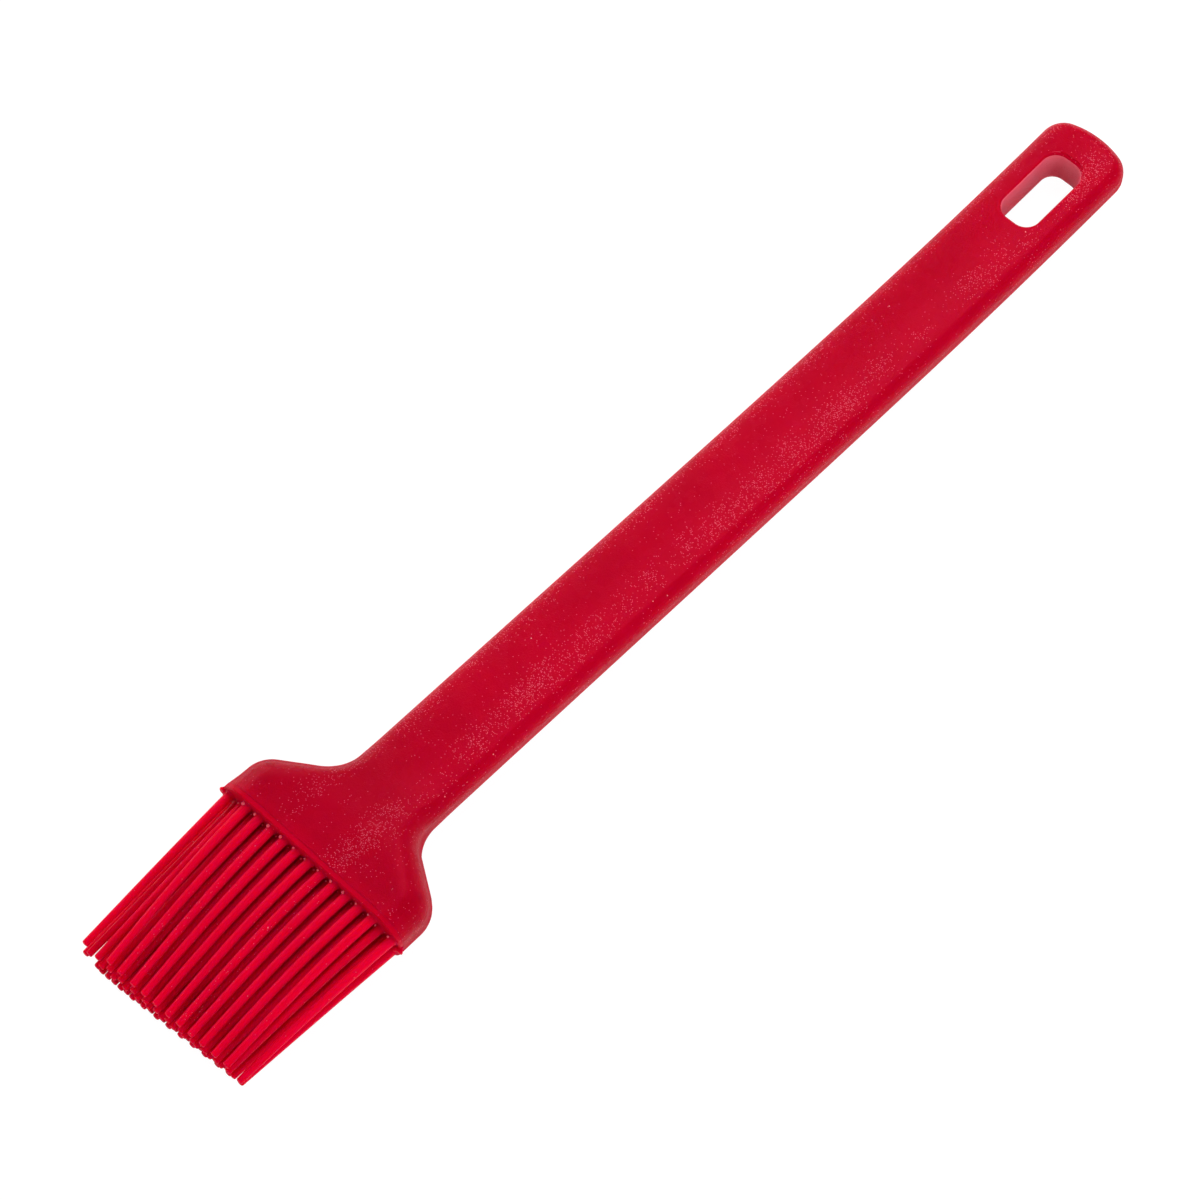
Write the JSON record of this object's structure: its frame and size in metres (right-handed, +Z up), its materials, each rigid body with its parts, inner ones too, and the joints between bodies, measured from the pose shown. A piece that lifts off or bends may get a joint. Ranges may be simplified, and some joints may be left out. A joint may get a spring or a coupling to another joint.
{
  "type": "pastry brush",
  "caption": "Silicone pastry brush: flat flared head with rows of soft tapered strands, slim rounded handle and a hanging slot, lying on its back.",
  "frame": {"origin": "centre of the brush's footprint, on the table that it lies on", "axes": "+X from the bristle tips to the hanging end of the handle, +Y across the head, +Z up from the table"},
  "size_m": [0.2542, 0.0456, 0.013],
  "materials": {
    "sleeve_silicone": "matte moulded silicone",
    "bristle_silicone": "satin moulded silicone",
    "core_nylon": "moulded nylon"
  },
  "bodies": {
    "root": {"handle_sleeve": "sleeve_silicone", "core": "core_nylon", "bristle_moulding": "bristle_silicone"}
  },
  "joints": []
}
